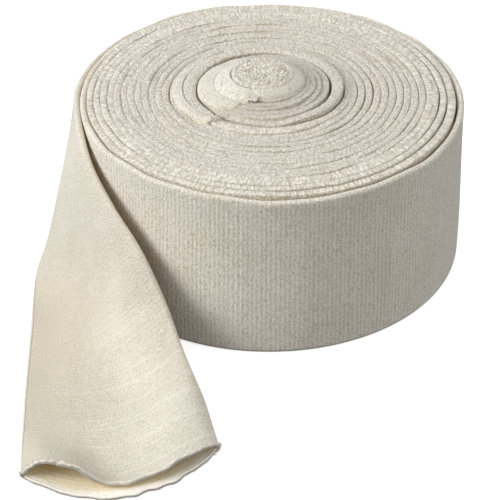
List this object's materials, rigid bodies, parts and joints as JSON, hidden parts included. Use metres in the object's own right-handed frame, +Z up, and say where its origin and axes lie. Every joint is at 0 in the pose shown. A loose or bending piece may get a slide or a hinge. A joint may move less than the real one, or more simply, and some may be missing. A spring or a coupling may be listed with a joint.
{
  "type": "elastic tubular bandage",
  "caption": "Flattened elastic knitted tube wound into a roll that stands on its flat end, its loose end drawn out and twisted down onto the surface with the tube's mouth open.",
  "frame": {"origin": "centre of the roll's flat foot, on the surface it stands on", "axes": "+Z up along the roll's axis; the loose end runs out along -Y on the -X side; X to the right of a viewer who stands on the -Y side"},
  "size_m": [0.2481, 0.3402, 0.114],
  "materials": {
    "knit": "matte cream cotton and elastic knit with fine upright ribs",
    "knit_loose": "matte cream cotton and elastic knit, ribs across the tube"
  },
  "bodies": {
    "root": {"wound_roll": "knit", "loose_end": "knit_loose"}
  },
  "joints": []
}
